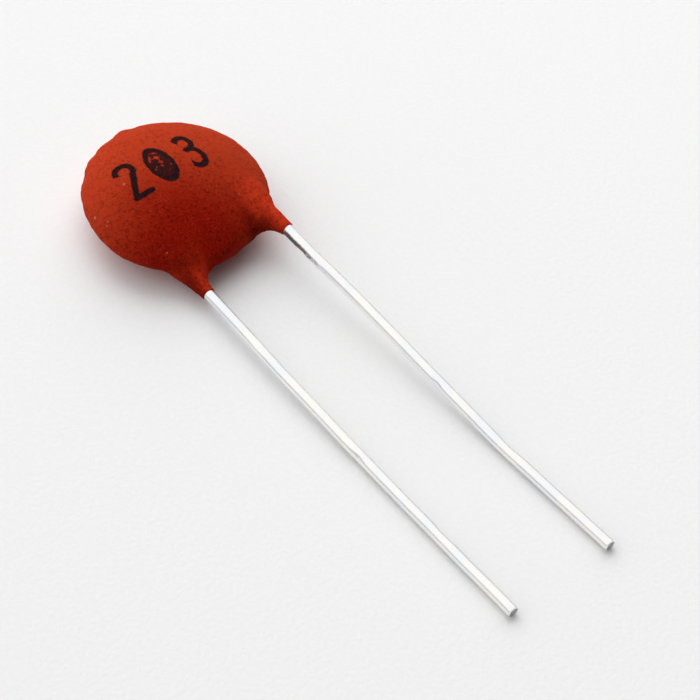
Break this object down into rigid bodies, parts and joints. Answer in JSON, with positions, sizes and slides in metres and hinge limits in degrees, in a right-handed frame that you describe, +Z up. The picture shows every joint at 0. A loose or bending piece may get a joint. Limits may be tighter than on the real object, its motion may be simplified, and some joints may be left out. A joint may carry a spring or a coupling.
{
  "type": "ceramic disc capacitor",
  "caption": "Ceramic disc capacitor: flat round body in a red-brown dipped coating that runs down onto radial tinned wire leads.",
  "frame": {"origin": "middle of the part's box, on the table that it lies on", "axes": "+X along the leads to their tips, +Y across the leads, +Z up off the table"},
  "size_m": [0.0272, 0.0078, 0.0027],
  "materials": {
    "dip_coating": "matte red-brown dipped resin with fine pits and a black printed value",
    "tinned_wire": "bright tin plating with small dents",
    "ceramic": "unglazed fired ceramic",
    "fired_silver": "matte fired silver",
    "solder": "satin solder"
  },
  "bodies": {
    "root": {"coating": "dip_coating", "left_lead": "tinned_wire", "right_lead": "tinned_wire", "ceramic_disc": "ceramic", "upper_electrode": "fired_silver", "lower_electrode": "fired_silver", "upper_solder": "solder", "lower_solder": "solder"}
  },
  "joints": []
}
